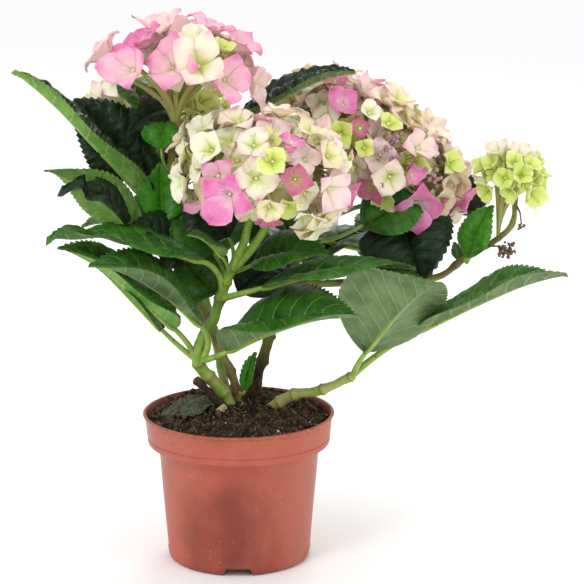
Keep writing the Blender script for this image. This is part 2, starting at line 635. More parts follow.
def stemSkin(name, base, pale, tint, speckShare, rough, footHeight=0.1, tintHeight=0.15):
    material, tree, surface, spot, soft = newSkin(name, 0.4, 90.0, 1400.0)
    height = put(tree, "SeparateXYZ", {0: spot}).outputs[2]
    colour = blendColours(tree, soft["Patches"], base, pale)
    low = calc(tree, "MULTIPLY", remap(tree, height, footHeight, tintHeight, 1.0, 0.1),
               remap(tree, cloud(tree, spot, 60.0, 3.0), 0.35, 0.6))
    colour = blendColours(tree, low, colour, tint)
    stripes = remap(tree, cloud(tree, scaled(tree, spot, (1, 1, 0.16)), 900.0, 2.0), 0.45, 0.7)
    colour = blendColours(tree, stripes, colour, tint, 0.22)
    scar = put(tree, "Attribute", attribute_name="scar").outputs["Fac"]
    colour = blendColours(tree, scar, colour, (122, 74, 50), 0.7)
    tall = scaled(tree, spot, (1, 1, 0.5))
    specks = place(tree, scatteredSpecks, {"Place": tall, "Count": 620.0, "Size": 0.3, "Share": speckShare})
    colour = blendColours(tree, specks["Specks"], colour, (104, 48, 38), 0.75)
    roughness = calc(tree, "MULTIPLY_ADD", soft["Grain"], 0.2, rough)
    finishMaterial(tree, surface, colour, roughness, calc(tree, "ADD", stripes, soft["Grain"]), 0.4, 0.3)
    return material


def barkSkin():
    material, tree, surface, spot, soft = newSkin("woodyBark", 0.25, 120.0, 1300.0)
    flakes = remap(tree, cloud(tree, scaled(tree, spot, (1, 1, 0.2)), 500.0, 5.0, 0.7), 0.42, 0.6)
    height = put(tree, "SeparateXYZ", {0: spot}).outputs[2]
    colour = blendColours(tree, flakes, (44, 28, 22), (94, 66, 46))
    colour = blendColours(tree, soft["Patches"], colour, (70, 56, 40), 0.4)
    colour = blendColours(tree, remap(tree, height, 0.122, 0.15), colour, (122, 134, 66), 0.62)
    finishMaterial(tree, surface, colour, calc(tree, "MULTIPLY_ADD", flakes, -0.15, 0.85),
                   calc(tree, "ADD", flakes, soft["Grain"]), 0.8, 0.7)
    return material


stemSkins = {
    "leafGreen": stemSkin("greenStem", (96, 146, 34), (134, 176, 58), (160, 158, 92), 0.2, 0.4),
    "purpleGreen": stemSkin("speckledStem", (128, 148, 54), (146, 142, 74), (104, 66, 50), 0.4, 0.45,
                            0.1, 0.32),
    "paleGreen": stemSkin("paleStem", (130, 172, 58), (166, 194, 92), (178, 170, 108), 0.25, 0.4,
                          0.1, 0.16),
    "woody": barkSkin(),
}


def nodeShares(key):  # where leaves leave a limb, as shares of its length, close ones as one
    borne = [leaf["share"] for leaf in leaves.values() if leaf["limb"] == key]
    shares = sorted(borne + list(limbForm["extraNodes"][key]))
    kept = []
    for share in shares:
        if not kept or share - kept[-1] > 0.045:
            kept.append(share)
    return kept


def makeLimb(key):
    _, _, skin, footRadius, tipRadius, _ = limbs[key]
    form = limbForm
    course = courses[key]
    length = course[1][-1] / mm
    steps = max(12, int(length / form["ring"]))
    shares = np.linspace(0, 1, steps + 1)
    radii = footRadius + (tipRadius - footRadius) * shares
    scars = np.zeros(len(shares))
    for share in nodeShares(key):
        away = (shares - share) * length
        radii = radii * (1 + form["nodeSwell"] * np.exp(-((away / form["nodeReach"]) ** 2)))
        scars = np.maximum(scars, np.exp(-((away / form["scarReach"]) ** 2)))
    radii = radii * (1 + form["scarSwell"] * scars) * form["slim"]
    part = tube(along(course, shares), radii * mm, form["sides"])
    ring = np.rint(tubeForm(form["sides"], steps)["co"][:, 2] * steps).astype(int)
    part["marks"] = {"scar": scars[ring]}
    out = unit(part["co"] - along(course, shares[ring]))
    ridges, knobs = form["woodyRelief" if skin == "woody" else "greenRelief"]
    for i, (spot, direction) in enumerate(zip(part["co"], out)):
        ridge = noise.noise(Vector((spot[0] * 420, spot[1] * 420, spot[2] * 70)))
        relief = ridges * ridge + knobs * noise.noise(Vector(spot) * 130)
        part["co"][i] = spot + direction * relief * mm
    return part


# Leaves: limb, share along it, stalk and blade as (turn, rise, length), then the rest as in leafKeys

leafRows = {
    "leaf_upper_left_long": ("left", 0.59, (203, 48, 17), (193, 48, 130), 44, 6, 32, 0, "quilted", "light", 0),
    "leaf_upper_left_dark": ("left", 0.59, (161, 51, 37), (177, 54, 68), 52, -55, 12, 5, "quilted", "dull", 0),
    "leaf_under_top_bloom": ("left", 0.85, (102, 25, 24), (221, -16, 35), 30, -25, 10, 6, "quilted", "dull", 0),
    "leaf_round_green": ("left", 0.74, (248, 50, 22), (73, 60, 21), 28, 0, 8, 3, "vivid", "light", 0),
    "leaf_dark_narrow": ("left", 0.6, (172, 60, 24), (135, 68, 31), 24, -20, 14, 2, "quilted", "dull", 0),
    "leaf_cupped_green": ("left", 0.555, (258, 32, 20), (101, 75, 40), 36, 0, 20, -4, "vivid", "light", 0),
    "leaf_left_pale": ("left", 0.53, (200, 15, 22), (203, 40, 85), 44, 35, 15, 4, "deep", "light", 0),
    "leaf_left_crumpled": ("left", 0.545, (226, 24, 41), (210, 33, 56), 30, -35, 18, 5, "quilted", "dull", 1.6),
    "leaf_left_behind": ("left", 0.48, (140, 4, 25), (157, 39, 40), 34, 60, 10, 3, "deep", "light", 0),
    "leaf_left_middle": ("front", 0.575, (220, 54, 29), (194, 14, 105), 44, -6, 20, 3, "deep", "dull", 1),
    "leaf_left_lower": ("front", 0.25, (208, 56, 31), (200, 41, 101), 70, -12, 30, 2, "deep", "light", 0),
    "leaf_left_lowest": ("front", 0.26, (175, 41, 32), (182, 47, 79), 44, 0, 20, 0, "deep", "light", 0),
    "leaf_front_left": ("front", 0.25, (277, 57, 37), (210, 35, 96), 54, -20, 34, 5, "mid", "grey", 0),
    "leaf_fork_small": ("front", 0.645, (256, 47, 23), (220, 36, 34), 24, -15, 24, 2, "mid", "light", 0),
    "leaf_glossy_left": ("left", 0.47, (288, 29, 17), (213, 32, 48), 46, -45, 10, 4, "quilted", "dull", 0),
    "leaf_glossy_middle": ("front", 0.62, (122, 46, 23), (172, 42, 40), 44, -45, 10, 4, "deep", "dull", 0),
    "leaf_glossy_upper": ("front", 0.68, (104, 61, 22), (168, 46, 43), 46, -45, 12, 4, "quilted", "dull", 0),
    "leaf_behind_stem": ("front", 0.545, (105, 3, 12), (163, 41, 37), 46, -45, 10, 3, "deep", "dull", 0),
    "leaf_middle_right": ("front", 0.545, (333, 19, 33), (354, 11, 103), 38, 6, 18, 3, "mid", "grey", 0),
    "leaf_fork_right": ("front", 0.66, (31, 13, 19), (334, 15, 56), 46, 25, 14, 4, "deep", "dull", 0),
    "leaf_behind_fork": ("front", 0.56, (43, 0, 15), (23, 26, 45), 48, 25, 10, 4, "quilted", "dull", 0),
    "leaf_front_right": ("front", 0.26, (322, 23, 28), (328, 22, 109), 74, 14, 38, 4, "deep", "grey", 0),
    "leaf_right_facing": ("low", 1, (304, 53, 24), (317, 45, 86), 80, -35, 30, 3, "mid", "grey", 0),
    "leaf_right_long": ("low", 0.97, (10, 33, 54), (346.5, 26.5, 109), 50, 2, 34, 1, "mid", "grey", 0),
    "leaf_right_strip": ("far", 0.3, (264, -12, 32), (336, 16, 61), 44, 20, 12, 4, "deep", "dull", 0),
    "leaf_under_right_bloom": ("woody", 0.9, (354, 8, 43), (309, -54, 56), 66, 30, 6, 8, "quilted", "dull", 0),
    "leaf_pale_rib": ("woody", 0.78, (324, 21, 45), (17, 21, 50), 44, 40, 8, 3, "deep", "dull", 0),
    "leaf_far_green": ("far", 0.7, (279, 13, 12), (20, 65, 40), 30, 20, 10, 3, "vivid", "light", 0),
    "leaf_far_small": ("far", 0.66, (58, 5, 7), (128, 61, 15), 13, 0, 10, 1, "mid", "light", 0),
    "leaf_between_blooms": ("left", 0.84, (26, 8, 49), (345, 27, 87), 38, 10, 28, 2, "quilted", "grey", 0),
    "leaf_at_foot": ("left", 0.06, (310, 10, 9), (16, 75, 28), 11, 40, 16, 1, "vivid", "light", 0),
    "leaf_beyond_right_bloom": ("woody", 0.8, (22, 5, 104), (31, 40, 35), 34, 40, 12, 4, "quilted", "dull", 0),
}
farSide = [  # limb, share, turn, rise, blade length, look
    ("back", 0.45, 150, 15, 82, "deep"), ("back", 0.47, 62, 14, 90, "mid"),
    ("back", 0.68, 100, 32, 80, "deep"), ("back", 0.7, 22, 28, 72, "quilted"),
    ("back", 0.62, 130, -8, 70, "deep"), ("woody", 0.52, 84, 10, 90, "deep"),
    ("woody", 0.56, 40, 6, 94, "mid"), ("woody", 0.7, 60, -14, 84, "quilted"),
    ("woody", 0.72, 118, 12, 80, "deep"), ("far", 0.36, 76, 14, 80, "deep"),
    ("left", 0.55, 104, 20, 80, "quilted"), ("left", 0.8, 134, 26, 60, "deep"),
]
for number, (limb, share, turn, rise, length, look) in enumerate(farSide, 1):
    leafRows[f"leaf_far_side_{number}"] = (limb, share, (turn, rise + 12, 22), (turn, rise, length),
                                           length * 0.58, 0, 18, 10, look, "dull", 0)
leafKeys = ("limb", "share", "stalk", "blade", "width", "roll", "fold", "sag", "upper", "under", "crumple")
leaves = {name: dict(zip(leafKeys, row)) for name, row in leafRows.items()}

leafForm = {  # millimetres on a blade of the full length, shares of its length or of its half width
    "fullLength": 80, "widest": 0.4, "tipTaper": 1.15, "columns": 14, "thick": 0.75, "edgeThinner": 0.55,
    "toothPitch": 3.4, "toothSize": 1.5, "toothLean": 0.9, "pairs": 8, "lean": 0.2, "cushion": 1.5,
    "quilted": 1.9, "smooth": 0.9, "pucker": 0.4, "ribShare": 0.06, "ribDepth": 0.9, "ribRaise": 1.3,
    "veinRaise": 0.45, "wave": 2.2, "curl": 5, "curlFrom": 0.62, "droop": 0.16, "crumpleFrom": 0.45,
}


def towards(turn, rise):
    turn = math.radians(turn)
    level = math.cos(math.radians(rise))
    return np.array((level * math.cos(turn), level * math.sin(turn), math.sin(math.radians(rise))))


def bezier(a, b, c, t):
    t = np.asarray(t)[:, None]
    return a * (1 - t) ** 2 + b * 2 * t * (1 - t) + c * t**2, unit(2 * (1 - t) * (b - a) + 2 * t * (c - b))


def leafFrame(name):  # root on its limb, foot and tip of the blade, its bow point and its upward face
    leaf = leaves[name]
    stalk, blade = leaf["stalk"], leaf["blade"]
    root = along(courses[leaf["limb"]], [leaf["share"]])[0] / mm
    foot = root + towards(*stalk[:2]) * stalk[2]
    chord = towards(*blade[:2])
    tip = foot + chord * blade[2]
    level = np.array((0, 0, 1.0)) - chord * chord[2]
    face = np.array(Matrix.Rotation(math.radians(leaf["roll"]), 3, Vector(chord)) @ Vector(unit(level)))
    bow = (foot + tip) / 2 + face * 2 * leaf["sag"]
    lead = foot - unit(bow - foot) * stalk[2] / 2
    return root, lead, foot, bow, tip, face


tiles = {"across": 4, "down": 2}  # places on the bake's map, one for each look


def tilePlace(index, across, lengthwise):
    column = index % tiles["across"]
    row = index // tiles["across"]
    return np.stack([(column + 0.03 + 0.94 * across) / tiles["across"],
                     (row + 0.02 + 0.96 * lengthwise) / tiles["down"]], -1)


def mapSlab(form, across, lengthwise, upperSlot, underSlot, mapName):  # each face's side, and the two maps
    level = form["co"][:, 2][form["corners"]]
    starts = np.cumsum(form["totals"]) - form["totals"]
    share = np.add.reduceat(level, starts) / form["totals"]
    slots = np.where(share < 0.25, underSlot, upperSlot)
    rim = (share > 0.25) & (share < 0.75)
    a = across[form["corners"]]
    b = lengthwise[form["corners"]]
    tuck = np.repeat(rim, form["totals"]) & (level < 0.5)
    a = np.where(tuck, 0.5 + (a - 0.5) * 0.96, a)
    b = np.where(tuck, 0.5 + (b - 0.5) * 0.98, b)
    own = np.stack([a, b], -1)
    return slots, {mapName: own, "OFBake": tilePlace(np.repeat(slots, form["totals"]), a, b)}


upperLooks = ["deep", "quilted", "vivid", "mid"]
underLooks = ["light", "grey", "dull"]


def ramp(values, start, end):  # 0 up to the start and 1 from the end on
    return np.clip((values - start) / (end - start), 0, 1)


def makeBlade(name):
    leaf = leaves[name]
    f = leafForm
    _, _, foot, bow, tip, face = leafFrame(name)
    length = leaf["blade"][2]
    scale = min(1.0, length / f["fullLength"])
    rows = 3 * max(6, round(length / f["toothPitch"]))
    form = slab(f["columns"], rows)
    x, s, level = form["co"].T
    v = np.sign(x) * np.abs(x) ** 1.5
    wide = np.abs(v)
    own = random.Random(name)
    waves = [own.uniform(0, 6.28) for _ in range(6)]

    power = f["tipTaper"] * f["widest"] / (1 - f["widest"])
    half = leaf["width"] / 2 * (s / f["widest"]) ** power * ((1 - s) / (1 - f["widest"])) ** f["tipTaper"]
    tooth = np.choose(np.mod(np.rint(s * rows), 3).astype(int), (0.0, 0.5, 1.0))
    tooth = tooth * ramp(s, 0, 0.14) * ramp(1 - s, 0, 0.05) * ramp(wide, 0.75, 1)
    half = np.maximum(half, 0.35) + f["toothSize"] * scale**0.5 * tooth
    points, ahead = bezier(foot, bow, tip, np.clip(s + tooth * f["toothLean"] / rows, 0, 1))
    normal = unit(face - ahead * (ahead @ face)[:, None])
    side = np.cross(ahead, normal)

    phase = (s - f["lean"] * wide**1.25) * f["pairs"]
    swing = np.abs(np.sin(np.pi * phase)) ** 0.7
    body = ramp(wide, 0, 0.12) * ramp(1 - wide, 0, 0.15) * ramp(1 - s, 0, 0.1)
    middle = 1 - ramp(wide, 0, f["ribShare"])
    quilt = f["quilted"] if leaf["upper"] == "quilted" else f["smooth"]
    lift = f["cushion"] * quilt * scale * swing * body
    lift += f["pucker"] * quilt * scale * np.sin(wide * 26 + waves[0]) * np.sin(phase * 9 + waves[1]) * body
    lift -= f["ribDepth"] * scale * (1 - s) * middle
    lift += f["wave"] * scale * v**2 * np.sin(s * 8.5 + waves[2] + np.sign(v) * waves[3])
    lift -= f["curl"] * scale * ramp(s, f["curlFrom"], 1) ** 2
    if leaf["crumple"]:
        far = ramp(s, f["crumpleFrom"], f["crumpleFrom"] + 0.4) * leaf["crumple"]
        ripple = 3.2 * np.sin(s * 21 + waves[4]) * (0.4 + wide)
        lift += far * (ripple + 2.4 * np.sin(v * 7 + s * 17 + waves[5]))
        half = half * (1 - 0.18 * far)
    bend = math.radians(leaf["fold"]) * (0.75 + 0.25 * np.cos(s * 5 + waves[4]))
    if leaf["fold"] > 5:
        lift = lift + f["droop"] * half * np.sin(np.pi * wide)
    thick = f["thick"] * (1 - f["edgeThinner"] * wide) * scale**0.5
    veins = f["ribRaise"] * (1 - s) ** 0.6 * middle + f["veinRaise"] * (1 - ramp(swing, 0, 0.35)) * body
    height = wide * half * np.sin(bend) + lift + (level - 0.5) * thick - np.where(level < 0.5, scale * veins, 0)
    co = points + side * (v * half * np.cos(bend))[:, None] + normal * height[:, None]
    underSlot = len(upperLooks) + underLooks.index(leaf["under"])
    slots, maps = mapSlab(form, (v + 1) / 2, s, upperLooks.index(leaf["upper"]), underSlot, "leafMap")
    return {**form, "co": co * mm, "slots": slots, "maps": maps}


def makeStalk(name):
    root, lead, foot, bow, tip, face = leafFrame(name)
    thick = 0.75 + min(1.25, leaves[name]["blade"][2] / 75)
    t = np.linspace(0, 1, 9)
    points, _ = bezier(root, lead, foot, t)
    onBlade, ahead = bezier(foot, bow, tip, np.linspace(0.04, 0.5, 8))
    normal = unit(face - ahead * (ahead @ face)[:, None])
    shares = np.linspace(0, 1, 8)[:, None]
    onBlade = onBlade - normal * (thick * 0.75 * (1 - shares) + 0.9 * shares * thick / 2)
    radii = list(thick * (1.25 - 0.4 * t)) + list(thick * 0.8 * (1 - 0.78 * shares[:, 0]))
    return tube(np.concatenate([points, onBlade]) * mm, np.array(radii) * mm, 10)


leafTints = {  # two greens, vein colour, roughness, how strong the veins show
    "deep": ((28, 78, 10), (54, 118, 18), (120, 162, 60), 0.33, 0.42),
    "quilted": ((14, 34, 16), (34, 60, 32), (66, 96, 56), 0.32, 0.3),
    "vivid": ((34, 112, 6), (66, 150, 16), (140, 190, 64), 0.36, 0.5),
    "mid": ((32, 84, 20), (66, 120, 36), (138, 174, 88), 0.38, 0.5),
    "light": ((96, 150, 54), (130, 176, 86), (186, 210, 136), 0.55, 0.5),
    "grey": ((92, 122, 76), (122, 148, 100), (178, 194, 146), 0.6, 0.55),
    "dull": ((70, 104, 56), (98, 130, 78), (146, 168, 110), 0.6, 0.5),
}


def leafSkin(look):
    dark, light, vein, rough, veinShow = leafTints[look]
    isUnder = look in underLooks
    shine = 0.25 if isUnder or look == "quilted" else 0.4
    material, tree, surface = newMaterial(look + "Leaf", Specular_IOR_Level=shine, Subsurface_Weight=0.05,
                                          Subsurface_Scale=0.002)
    spot = put(tree, "UVMap", uv_map="leafMap").outputs[0]
    veins = place(tree, leafVeins, {"Place": spot, "Pairs": leafForm["pairs"], "Lean": leafForm["lean"]})
    soft = cloud(tree, scaled(tree, spot, (5, 8, 1)), 1.0, 4.0, 0.6)
    colour = blendColours(tree, remap(tree, soft, 0.35, 0.65), dark, light)
    colour = blendColours(tree, calc(tree, "SUBTRACT", 1.0, veins["Cushions"]), colour, dark, 0.35)
    colour = blendColours(tree, veins["Netting"], colour, vein if isUnder else light, 0.22)
    colour = blendColours(tree, veins["Side Veins"], colour, vein, veinShow)
    colour = blendColours(tree, veins["Midrib"], colour, vein, 0.9)
    colour = blendColours(tree, remap(tree, veins["Across"], 0.93, 1.0), colour, vein, 0.25)
    roughness = calc(tree, "MULTIPLY_ADD", soft, 0.16, rough - 0.06)
    sign = 1.0 if isUnder else -1.0  # veins stand out below and are sunk above
    height = calc(tree, "MULTIPLY", veins["Side Veins"], 0.8 * sign)
    height = calc(tree, "MULTIPLY_ADD", veins["Netting"], 0.55 * sign, height)
    height = calc(tree, "MULTIPLY_ADD", veins["Midrib"], sign, height)
    finishMaterial(tree, surface, colour, roughness, height, 0.7, 0.6)
    return material


def makeLeaves():
    skins = [leafSkin(look) for look in upperLooks + underLooks]
    groups = {"leftLeaves": [], "rightLeaves": [], "farSideLeaves": []}
    for name in leaves:
        low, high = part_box(name)
        nearSide = "leftLeaves" if low.x + high.x < 0 else "rightLeaves"
        group = "farSideLeaves" if "far_side" in name else nearSide
        groups[group].append(name)
    for group, names in groups.items():
        piece = buildPiece(group, [makeBlade(name) for name in names], skins, 60)
        settle(piece, "leaf", *names)
    skin = stemSkin("leafStalkSkin", (112, 158, 50), (156, 188, 84), (146, 128, 74), 0.1, 0.4)
    settle(buildPiece("leafStalks", [makeStalk(name) for name in leaves], [skin], 80), "stem")


for key, limb in limbs.items():
    piece = buildPiece(limb[0], [makeLimb(key)], [stemSkins[limb[2]]], 70)
    settle(piece, "woody_stem" if limb[2] == "woody" else "stem", limb[1])
makeLeaves()


# Flower heads: florets of four petals round a bead, on branching stalks

petalTints = {  # at the eye, at the middle, at the tip, on the edge
    "cream": ((214, 226, 124), (250, 246, 212), (252, 236, 214), (252, 240, 226)),
    "blush": ((214, 226, 130), (252, 240, 212), (250, 204, 198), (244, 172, 188)),
    "palePink": ((244, 234, 198), (252, 220, 214), (246, 182, 200), (248, 206, 216)),
    "rose": ((250, 234, 214), (250, 186, 206), (242, 132, 182), (234, 110, 164)),
    "hotPink": ((248, 204, 216), (238, 134, 186), (226, 90, 158), (242, 158, 202)),
    "mauve": ((196, 182, 112), (200, 112, 140), (182, 76, 114), (214, 146, 162)),
    "lime": ((186, 212, 72), (224, 236, 126), (236, 240, 168), (246, 246, 206)),
    "peach": ((210, 220, 116), (246, 234, 184), (246, 204, 180), (250, 216, 204)),
}
petalNames = list(petalTints)
petalForm = {  # millimetres, shares of a petal's length, and the ranges of what is left to luck
    "columns": 4, "rows": 5, "thick": 0.35, "lap": 0.5, "widest": 0.46, "point": 1.22, "heart": 0.06,
    "lengths": (0.88, 1.14), "widths": (0.44, 0.53), "turns": (-11, 11), "cups": (-0.2, 0.2),
    "reflexes": (0.2, 0.75), "creases": (0.05, 0.5), "ripple": 0.06, "drawnIn": 0.2,
}
spreadForm = {  # how florets are dealt out and stand, and the stalks and buds of a head
    "tries": 900, "layers": ((0, 0.0, 1.0), (1, 8.0, 1.45)), "droopTurn": 345, "budRoom": 8, "overlap": 0.66,
    "tierStep": 0.12, "rays": 10, "budsEach": 13, "budSpread": 7,
}
heads = {
    # centre and half sizes in millimetres, underside share, lean, floret radius and spacing, lowest rise and
    # how much lower it is on its right, hub of the stalks, their width and reach, cup and inset of florets,
    # tints of the deeper layer, shares of the colours, and the hand-set florets as turn, rise, spin, colour
    # and radius, the hanging ones with a drop before the spin
    "frontBloom": {
        "node": "bloom_front", "at": (17, -38, 277), "half": (63, 50, 41), "under": 1.06, "lean": (4, 3),
        "radius": 14, "spacing": 12.5, "lowest": -45, "droop": 8, "hub": (14, -36, 246),
        "width": 1.5, "seed": 3, "cup": (0.1, 0.6), "inset": 0.72, "rayReach": 0.5,
        "inner": ("lime", "peach", "lime"),
        "mix": {"cream": 7, "blush": 6, "palePink": 1.5, "lime": 2.5, "peach": 4, "rose": 0.4},
        "placed": [(262, 40, 50, "blush", 14.5), (266, 7, 0, "blush", 17), (249, -11, -25, "hotPink", 20),
                   (292, 7, -20, "mauve", 13), (319, -5, 50, "palePink", 15), (339, -43, 10, "peach", 13),
                   (276, -21, 30, "peach", 12), (240, 5, 45, "rose", 14.5), (277, 24, 45, "lime", 13),
                   (209, -8, 0, "cream", 14), (353, -16, 15, "hotPink", 14), (311, -39, 45, "cream", 14.5),
                   (332, -51, 20, "lime", 12), (9, 80, 20, "blush", 14), (223, 66, 45, "blush", 14),
                   (195, 44, 0, "cream", 13), (174, 23, 30, "blush", 14), (229, 29, 70, "cream", 14),
                   (295, 43, 45, "hotPink", 10), (326, 52, 0, "peach", 13), (324, 27, 30, "peach", 13),
                   (277, -40, 0, "mauve", 11)],
        "hanging": [(318, -22, 9, 20, "peach", 13), (326, -30, 16, 50, "cream", 13),
                    (322, -40, 12, 5, "peach", 12), (334, -20, 6, 35, "blush", 13)],
    },
    "topLeftBloom": {
        "node": "bloom_top_left", "at": (-38, -4, 331), "half": (66, 54, 45), "under": 0.6, "lean": (0, -4),
        "radius": 18, "spacing": 16.5, "lowest": 13, "droop": 32, "hub": (-41, -3, 296),
        "width": 2.5, "seed": 5, "cup": (0.25, 0.8), "inset": 1.12, "rayReach": 0.64,
        "inner": ("palePink", "cream"),
        "mix": {"rose": 7, "palePink": 6, "blush": 1.5, "hotPink": 0.6},
        "placed": [(234, 21, 20, "rose", 19.5), (268, 24, 90, "rose", 21), (289, 22, 60, "blush", 22),
                   (309, 2, -15, "rose", 20), (236, 53, 40, "hotPink", 16), (356, 65, 0, "rose", 18),
                   (297, 73, 30, "palePink", 18), (233, 74, 10, "palePink", 18), (347, 36, 20, "rose", 19),
                   (179, 30, 0, "palePink", 20), (214, 8, 35, "cream", 13), (316, 36, 60, "lime", 10),
                   (291, 49, 5, "cream", 14), (339, -11, 30, "palePink", 17)],
    },
    "rightBloom": {
        "node": "bloom_right", "at": (91, 45, 274), "half": (78, 52, 44), "under": 0.9, "lean": (0, 35),
        "radius": 14.5, "spacing": 12, "lowest": -50, "droop": 0, "hub": (73, 38, 242),
        "width": 1.5, "seed": 8, "cup": (0.1, 0.65), "inset": 0.72, "rayReach": 0.5,
        "inner": ("lime", "peach", "palePink"),
        "mix": {"peach": 3, "blush": 6, "palePink": 6, "mauve": 0.6, "lime": 1.5, "cream": 3, "hotPink": 0.8},
        "placed": [(246, 3, 30, "lime", 12.7), (249, 37, 10, "cream", 11), (233, 27, 40, "hotPink", 13),
                   (212, 34, 0, "mauve", 13), (290, 36, 0, "palePink", 15), (292, 9, 20, "hotPink", 9),
                   (305, -12, -90, "hotPink", 19), (277, -21, 35, "mauve", 13), (254, -10, 0, "mauve", 10),
                   (289, -30, 45, "lime", 12), (319, 2, 10, "peach", 15), (346, 13, 25, "hotPink", 13),
                   (322, 38, 40, "lime", 12), (247, 76, 0, "peach", 15), (173, 21, 20, "peach", 13),
                   (174, 52, 0, "peach", 13), (160, 64, 30, "palePink", 13), (206, -3, 10, "peach", 13),
                   (281, -3, 70, "blush", 14), (261, 6, 60, "lime", 9), (264, 40, 30, "lime", 10),
                   (252, 19, 10, "mauve", 9)],
        "buds": [(273, 35), (277, 15), (285, 22), (304, 20)],
    },
    "backLeftBloom": {
        "node": "bloom_back_left", "at": (-56, 64, 297), "half": (54, 46, 29), "under": 0.8, "lean": (-6, 0),
        "radius": 10.5, "spacing": 10.5, "lowest": -50, "droop": 0, "hub": (-56, 63, 272),
        "width": 1.3, "seed": 13, "cup": (0.3, 0.9), "inset": 0.72, "rayReach": 0.5, "inner": ("lime",),
        "mix": {"lime": 9, "cream": 2, "peach": 1, "blush": 1},
        "placed": [(242, 32, 0, "lime", 11), (273, 30, 20, "lime", 11), (311, 20, 40, "lime", 11),
                   (243, 10, 45, "peach", 14), (264, 9, 0, "hotPink", 11), (221, 20, 30, "blush", 13)],
    },
    "farRightBloom": {
        "node": "bloom_far_right", "at": (184, 21, 258), "half": (24, 24, 23), "under": 0.8, "lean": (0, 8),
        "radius": 9.5, "spacing": 8.5, "lowest": -20, "droop": 0, "hub": (176, 24, 217),
        "width": 1.3, "seed": 21, "cup": (0.5, 1.0), "inset": 0.6, "rayReach": 0.5, "inner": ("lime",),
        "mix": {"lime": 9, "cream": 3},
        "placed": [(214, 54, 0, "blush", 11), (275, 64, 20, "blush", 10), (218, 30, 0, "lime", 9),
                   (265, 40, 45, "lime", 9), (298, 38, 0, "lime", 9), (225, -20, 10, "lime", 11),
                   (280, 20, 30, "lime", 10), (299, -9, 0, "lime", 11), (344, -34, 0, "lime", 9)],
    },
}


def petalSkin(name):
    eye, middle, tip, edge = petalTints[name]
    material, tree, surface = newMaterial(
        name + "Petal", Roughness=0.55, Specular_IOR_Level=0.3, Subsurface_Weight=0.4, Subsurface_Scale=0.003,
        Subsurface_Radius=(1.0, 0.6, 0.5), Sheen_Weight=0.1)
    shadeAt = place(tree, petalShade, {"Place": put(tree, "UVMap", uv_map="petalMap").outputs[0]})
    colour = blendColours(tree, remap(tree, shadeAt["Reach"], 0.02, 0.4), eye, middle)
    colour = blendColours(tree, remap(tree, shadeAt["Reach"], 0.45, 0.95), colour, tip)
    colour = blendColours(tree, shadeAt["Edge"], colour, edge, 0.4)
    colour = blendColours(tree, shadeAt["Streaks"], colour, tip, 0.22, "MULTIPLY")
    roughness = calc(tree, "MULTIPLY_ADD", shadeAt["Blotches"], 0.2, 0.45)
    finishMaterial(tree, surface, colour, roughness, shadeAt["Streaks"], 0.3, 0.2)
    return material


petalSkins = {name: petalSkin(name) for name in petalNames}


def headTurn(head):
    leanX, leanY = (math.radians(a) for a in head["lean"])
    return np.array(Matrix.Rotation(leanY, 3, "Y") @ Matrix.Rotation(leanX, 3, "X"))


def onHead(head, direction, inset=0.0, share=1.0):  # the place and the outward way at a direction of the head
    half = np.array(head["half"], float)
    if direction[2] < 0:
        half[2] *= head["under"]
    turn = headTurn(head)
    return np.array(head["at"]) + turn @ (direction * (half - inset) * share), unit(turn @ (direction / half))


def nearest(spot, others):
    return min((np.linalg.norm(spot - other) for other in others), default=99)


def spreadFlorets(head):  # hand-set florets first, then others wherever there is room, then a deeper layer
    luck = random.Random(head["seed"])
    names = list(head["mix"])
    inset = head["inset"] * head["radius"]
    budSpots = [onHead(head, towards(turn, rise), inset)[0] for turn, rise in head.get("buds", [])]
    florets = []
    for turn, rise, spin, look, radius in head["placed"]:
        spot, out = onHead(head, towards(turn, rise), inset)
        florets.append({"at": spot, "out": out, "spin": spin, "look": look, "radius": radius, "sway": 0.1,
                        "tiers": (3, 2, 4, 1, 0)})
    for turn, rise, drop, spin, look, radius in head.get("hanging", []):
        spot, out = onHead(head, towards(turn, rise), inset)
        florets.append({"at": spot - (0, 0, drop), "out": out, "spin": spin, "look": look, "radius": radius,
                        "sway": 0.1, "tiers": (2, 3, 1, 0)})
    tries = spreadForm["tries"]
    for layer, depth, room in spreadForm["layers"]:
        kept = [] if layer else list(florets)
        for i in range(tries):
            height = 1 - (2 * i + 1) / tries
            turn = i * math.pi * (3 - math.sqrt(5))
            hang = head["droop"] * max(0, math.cos(turn - math.radians(spreadForm["droopTurn"]))) ** 2
            if math.degrees(math.asin(height)) < head["lowest"] - hang:
                continue
            level = math.sqrt(1 - height * height)
            direction = np.array((level * math.cos(turn), level * math.sin(turn), height))
            spot, out = onHead(head, direction, inset + depth + luck.uniform(0, 3))
            if nearest(spot, budSpots) < spreadForm["budRoom"]:
                continue
            gap = nearest(spot, [other["at"] for other in kept])
            if gap < head["spacing"] * room * luck.uniform(0.84, 1.08):
                continue
            look = luck.choice(head["inner"]) if layer else luck.choices(names, list(head["mix"].values()))[0]
            kept.append({"at": spot, "out": out, "spin": luck.uniform(0, 90), "look": look, "sway": 0.34,
                         "radius": head["radius"] * luck.uniform(0.82, 1.1), "tiers": (0, 1, 2, 3)})
        florets = florets + kept if layer else kept
    for i, floret in enumerate(florets):  # neighbours stand at different heights, so their petals overlap
        near = {other["tier"] for other in florets[:i] if np.linalg.norm(floret["at"] - other["at"])
                < spreadForm["overlap"] * (floret["radius"] + other["radius"])}
        floret["tier"] = next((tier for tier in floret["tiers"] if tier not in near), 1)
        step = (floret["tier"] - 1) * spreadForm["tierStep"] * head["radius"]
        floret["at"] = floret["at"] + floret["out"] * step
        sway = floret["sway"]
        floret["out"] = unit(floret["out"] + np.array([luck.uniform(-sway, sway) for _ in range(3)]))
        low, high = head["cup"]
        floret["cup"] = low + (high - low) * min(1, luck.uniform(0, 0.5) + floret["tier"] * 0.25)
        floret["luck"] = luck.random()
    return florets


